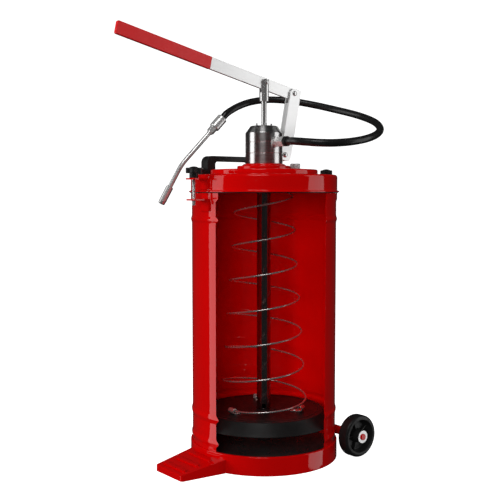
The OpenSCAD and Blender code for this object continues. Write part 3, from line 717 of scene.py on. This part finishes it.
def link():
    """Folded link: two plates and the web between them."""
    turn = Matrix.Translation(pivot(LINK_FOOT)) @ Matrix.Rotation(LINK_LEAN, 4, "Y")
    flat = turn @ Matrix.Rotation(math.pi / 2, 4, "X")
    outline = arc(0, 0, 10, 180, 270, 12) + arc(4.4, 0, 10, 270, 360, 12)
    outline += arc(11.4, LINK_LENGTH + 4.9, 3, 0, 90, 6)
    outline += arc(0, LINK_LENGTH - 1.6, 10, 90, 180, 12)
    parts = []
    for side in (-1, 1):
        at = flat @ Matrix.Translation((0, 0, side * 0.00445))
        parts.append(prism("plate", [(x * MM, z * MM) for x, z in outline], 0.0031, at, 0.0007, 3))
    web = [(-9.95, 18), (-7.5, 18), (-7.5, 91), (-9.95, 91)]
    parts.append(prism("web", [(x * MM, z * MM) for x, z in web], 0.0062, flat, 0.0004, 2))
    stand_for(join("folded_link", parts), "link_channel")


def domed_pin(name, node, point, half, head, height):
    """Pin along Y at a pivot, with a domed head at each end on a thin shoulder."""
    middle = pivot(point)
    parts = []
    for side in (-1, 1):
        at = Matrix.Translation(middle) @ Matrix.Rotation(-side * math.pi / 2, 4, "X")
        dome = [(0, half - 1), (head * 0.9, half - 1), (head * 0.9, half), (head, half),
                (head, half + height * 0.3)]
        dome += [(head * math.cos(a), half + height * (0.3 + 0.7 * math.sin(a)))
                 for a in [math.radians(10 * i) for i in range(1, 10)]]
        parts.append(lathe("dome", [(r * MM, z * MM) for r, z in dome], at, 48, 0.0002))
    shank = [(0, -half), (3, -half), (3, half), (0, half)]
    at = Matrix.Translation(middle) @ Matrix.Rotation(math.pi / 2, 4, "X")
    parts.append(lathe("shank", [(r * MM, z * MM) for r, z in shank], at, 40, 0.0002))
    stand_for(join(name, parts), node)


# ---------------------------------------------------------------- nozzle

# the nozzle in the row frame, its ferrule at the top, as in the part's source
NOZZLE_TOP = Vector((25, 153, 600.5)) * MM
NOZZLE_BEND = Vector((-54, 174.5, 512)) * MM
FERRULE = 26 * MM
NUT_R = 7.6 * MM


def hose_end():
    """The crimped ferrule and the gland nut at the hose's end."""
    down = (NOZZLE_BEND - NOZZLE_TOP).normalized()
    at = place(NOZZLE_TOP, down)
    outline = [(0, 0), (6.6, 0), (8.8, 0), (9.8, 1.0), (9.8, 5), (9.65, 5.4), (9.65, 6.4), (9.8, 6.8)]
    outline += [(9.8, 24.6), (8.8, 26), (0, 26)]
    obj = lathe("crimped_ferrule", [(r * MM, z * MM) for r, z in outline], at, 96, 0.0004)
    pieces = [stand_for(obj, "nozzle_ferrule")]
    nut_at = place(NOZZLE_TOP + down * FERRULE, down)
    corners = [math.radians(60 * i) for i in range(6)]
    hexagon = [(NUT_R * math.cos(a), NUT_R * math.sin(a)) for a in corners]
    nut = prism("hexagon", hexagon, 0.011, nut_at @ Matrix.Translation((0, 0, 0.0055)), 0.0006, 3)
    cone = lathe("cone", [(0, 0.0108), (0.006, 0.0108), (0.0058, 0.013), (0.005, 0.014), (0, 0.014)],
                 nut_at, 48, 0.0003)
    pieces.append(stand_for(join("gland_nut", [nut, cone]), "nozzle_nut"))
    return pieces


# ---------------------------------------------------------------- spring


# the helix in millimetres and degrees: one known place on it, its ends and its bent-in foot
PITCH = 58.7
COIL_TURN = -38.5
COIL_Z = 102.6
COIL_R = 73.8
COIL_TAPER = 0.0678
COIL_TOP_Z = 482.8
COIL_TOP_TURN = COIL_TURN + 360 * (COIL_TOP_Z - COIL_Z) / PITCH
FIRST_TURN = -184.0
LAST_TURN = COIL_TOP_TURN + 266
FOOT_TURN = 141.5
FOOT_BEND_IN = 4.8
FOOT_FLATTEN = 0.000398
WIRE_R = 1.5


def spring():
    """Tapering wire spring between the follower's clips and the seat under the lid."""
    count = int((LAST_TURN - FIRST_TURN) / 6)
    path = []
    for i in range(count + 1):
        a = FIRST_TURN + (LAST_TURN - FIRST_TURN) * i / count
        fall = max(COIL_TURN - a, 0)
        z = COIL_Z - fall * PITCH / 360 + FOOT_FLATTEN * fall ** 2
        r = COIL_R - FOOT_BEND_IN * (fall / FOOT_TURN) ** 2
        if not fall:
            z = min(COIL_Z + PITCH * (a - COIL_TURN) / 360, COIL_TOP_Z)
            r = COIL_R - COIL_TAPER * (z - COIL_Z)
        path.append(Vector((r * math.cos(math.radians(a)), r * math.sin(math.radians(a)), z)) * MM)
    obj = tube("wire_spring", path, WIRE_R * MM, 16)
    stand_for(obj, "spring")
    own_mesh(obj)


# ---------------------------------------------------------------- light and floor


def panel(name, turn, rise, reach, width, height, glow, mirrored=True, aim=(0, 0, 0.35)):
    """A soft box: turn is degrees to the right of the camera's side, glow its radiance."""
    side = -math.pi / 2 - VIEW_TURN + math.radians(turn)
    tilt = math.radians(rise)
    away = Vector((math.cos(side) * math.cos(tilt), math.sin(side) * math.cos(tilt), math.sin(tilt)))
    light = bpy.data.lights.new(name, "AREA")
    light.shape = "RECTANGLE"
    light.size, light.size_y = width, height
    light.energy = glow * math.pi * width * height
    obj = bpy.data.objects.new(name, light)
    obj.location = Vector(aim) + away * reach
    obj.rotation_euler = away.to_track_quat("Z", "Y").to_euler()
    obj.visible_glossy = mirrored
    scene.collection.objects.link(obj)
    return obj


def studio():
    panel("soft_left", -80, 6, 2.6, 1.4, 3.0, 1.6)
    panel("soft_right", 86, 6, 2.6, 1.5, 3.0, 1.3)
    panel("soft_high", -12, 48, 2.8, 1.2, 0.8, 5.0)
    panel("key_front", -14, 8, 3.0, 1.4, 1.4, 6.5, mirrored=False)
    panel("key_left", -82, 10, 3.0, 1.4, 1.4, 6.5, mirrored=False)
    panel("key_right", 70, 10, 3.0, 1.4, 1.4, 1.8, mirrored=False)
    panel("soft_top", 0, 88, 2.6, 3.0, 3.0, 0.8, mirrored=False)
    world = bpy.data.worlds.new("studio")
    world.use_nodes = True
    world.node_tree.nodes["Background"].inputs["Color"].default_value = (0.02, 0.02, 0.02, 1)
    world.node_tree.nodes["Background"].inputs["Strength"].default_value = 1.0
    scene.world = world
    scene.view_settings.view_transform = "Standard"

    # pale floor that curves up into a backdrop all round
    profile = [(0, 0), (2.6, 0)] + [(p[0], p[1]) for p in arc(4.2, 1.6, 1.6, 270, 360, 12)][1:]
    profile += [(5.8, 6.0)]
    floor = lathe("floor", [(r, z - 0.0002) for r, z in profile], sides=64, radius=0)
    floor.modifiers.clear()
    m = Paint("pale_floor", (0.9, 0.9, 0.9), 0.7)
    m.shader.inputs["Emission Color"].default_value = (1, 1, 1, 1)
    m.shader.inputs["Emission Strength"].default_value = 1.05
    m.material.cycles.emission_sampling = "NONE"
    floor.data.materials.append(m.material)
    floor.visible_glossy = False
    floor.visible_diffuse = False


# ---------------------------------------------------------------- making

# CAD nodes that stay, with the width of their eased edges in millimetres
EASED = {
    "drum_shell": 0.25, "base_pan": 0.4, "drum_floor": 0.3, "foot_pedal": 0.9, "pedal_treads": 0.9,
    "bracket_lower_front": 0.5, "bracket_lower_rear": 0.5, "bracket_upper_front": 0.5,
    "bracket_upper_rear": 0.5, "axle_stubs": 0.4, "axle_washers": 0.2, "lid_cover": 0.3,
    "pump_flange": 0.4, "handle_screws": 0.2, "suction_tube": 0.3, "clevis": 0.45,
    "outlet_fitting": 0.4, "hose_sleeve": 0.3, "coupler_jaws": 0.3, "follower_plate": 0.5,
    "follower_wiper": 0.3, "spring_clips": 0.3, "clip_rivets": 0.2, "link_lug": 0.4,
    "gland_screws": 0.2, "head_gland": 0.2, "pump_rod": 0.2, "nozzle_tube": 0.2,
    "nozzle_coupler": 0.4,
}

finish_nodes()
hose(hose_end())
for part, ease in EASED.items():
    dress(part, ease)
wheel(1, "wheel_left")
wheel(-1, "wheel_right")
threaded_stud("stud_front", -CLAMP_X)
threaded_stud("stud_rear", CLAMP_X)
knob("knob_front", -1, 180 - 38.5)
knob("knob_rear", 1, 6.5)
carry_handle()
filler_cap()
pump_head()
lever()
link()
domed_pin("domed_lever_pin", "lever_pin", LEVER_PIVOT, 8.3, 3.9, 2.0)
domed_pin("domed_link_top_pin", "link_top_pin", LINK_TOP, 6.02, 4.5, 2.2)
domed_pin("domed_link_foot_pin", "link_foot_pin", LINK_FOOT, 6.3, 4.6, 2.8)
spring()
studio()
